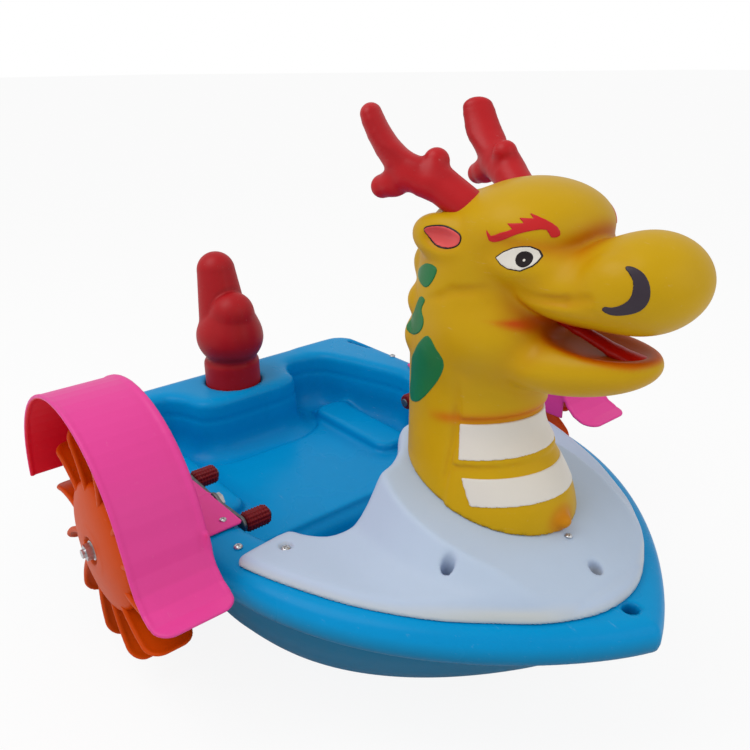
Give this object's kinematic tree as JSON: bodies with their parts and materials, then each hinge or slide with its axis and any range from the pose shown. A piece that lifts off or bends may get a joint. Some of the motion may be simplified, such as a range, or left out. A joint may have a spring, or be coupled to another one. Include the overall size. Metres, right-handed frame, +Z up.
{
  "type": "pedal boat",
  "caption": "Child's paddle boat for one rider: moulded tub hull, dragon figurehead on a bow cover, and a hand-cranked side paddle wheel under each fender.",
  "frame": {"origin": "centre of the footprint, at the level of the hull's flat bottom", "axes": "+X to the bow, +Y to port, +Z up"},
  "size_m": [1.32, 1.15, 0.9703],
  "materials": {
    "hull_blue": "smooth moulded polyethylene",
    "cover_white": "smooth moulded polyethylene",
    "dragon_yellow": "smooth moulded polyethylene with sprayed orange shading",
    "antler_red": "smooth moulded polyethylene",
    "fender_pink": "smooth moulded polyethylene",
    "paddle_orange": "smooth moulded polyethylene",
    "grip_red": "ribbed",
    "crank_metal": "satin",
    "nylon": "satin",
    "black_rubber": "matt",
    "steel": "bright"
  },
  "bodies": {
    "boat": {"hull": "hull_blue", "drain_plug": "black_rubber", "drain_plug_seal": "black_rubber", "bow_cover": "cover_white", "bow_cover_screws": "steel", "neck_screw": "steel", "dragon_head": "dragon_yellow", "antler_right": "antler_red", "antler_left": "antler_red", "tail": "antler_red", "deck_rivets": "steel", "fender_right": "fender_pink", "fender_left": "fender_pink", "fender_screws_right": "steel", "fender_screws_left": "steel", "bearing_right": "nylon", "bearing_left": "nylon"},
    "paddle_right": {"paddle_wheel_right": "paddle_orange", "axle_right": "steel", "hub_washer_right": "steel", "hub_nut_right": "steel", "crank_arm_right": "crank_metal", "thrust_washer_right": "nylon", "crank_nut_right": "steel"},
    "paddle_left": {"paddle_wheel_left": "paddle_orange", "axle_left": "steel", "hub_washer_left": "steel", "hub_nut_left": "steel", "crank_arm_left": "crank_metal", "thrust_washer_left": "nylon", "crank_nut_left": "steel"},
    "front_grip_right": {"grip_front_right": "grip_red"},
    "rear_grip_right": {"grip_rear_right": "grip_red"},
    "front_grip_left": {"grip_front_left": "grip_red"},
    "rear_grip_left": {"grip_rear_left": "grip_red"}
  },
  "joints": [
    {"name": "paddle_right_spin", "type": "hinge", "parent": "boat", "child": "paddle_right", "pos_m": [-0.088, -0.45, 0.262], "axis": [0, 1, 0], "continuous": true},
    {"name": "paddle_left_spin", "type": "hinge", "parent": "boat", "child": "paddle_left", "pos_m": [-0.088, 0.45, 0.262], "axis": [0, 1, 0], "continuous": true},
    {"name": "front_grip_right_spin", "type": "hinge", "parent": "paddle_right", "child": "front_grip_right", "pos_m": [0.01, -0.285, 0.262], "axis": [0, 1, 0], "continuous": true},
    {"name": "rear_grip_right_spin", "type": "hinge", "parent": "paddle_right", "child": "rear_grip_right", "pos_m": [-0.186, -0.285, 0.262], "axis": [0, 1, 0], "continuous": true},
    {"name": "front_grip_left_spin", "type": "hinge", "parent": "paddle_left", "child": "front_grip_left", "pos_m": [0.01, 0.285, 0.262], "axis": [0, 1, 0], "continuous": true},
    {"name": "rear_grip_left_spin", "type": "hinge", "parent": "paddle_left", "child": "rear_grip_left", "pos_m": [-0.186, 0.285, 0.262], "axis": [0, 1, 0], "continuous": true}
  ]
}
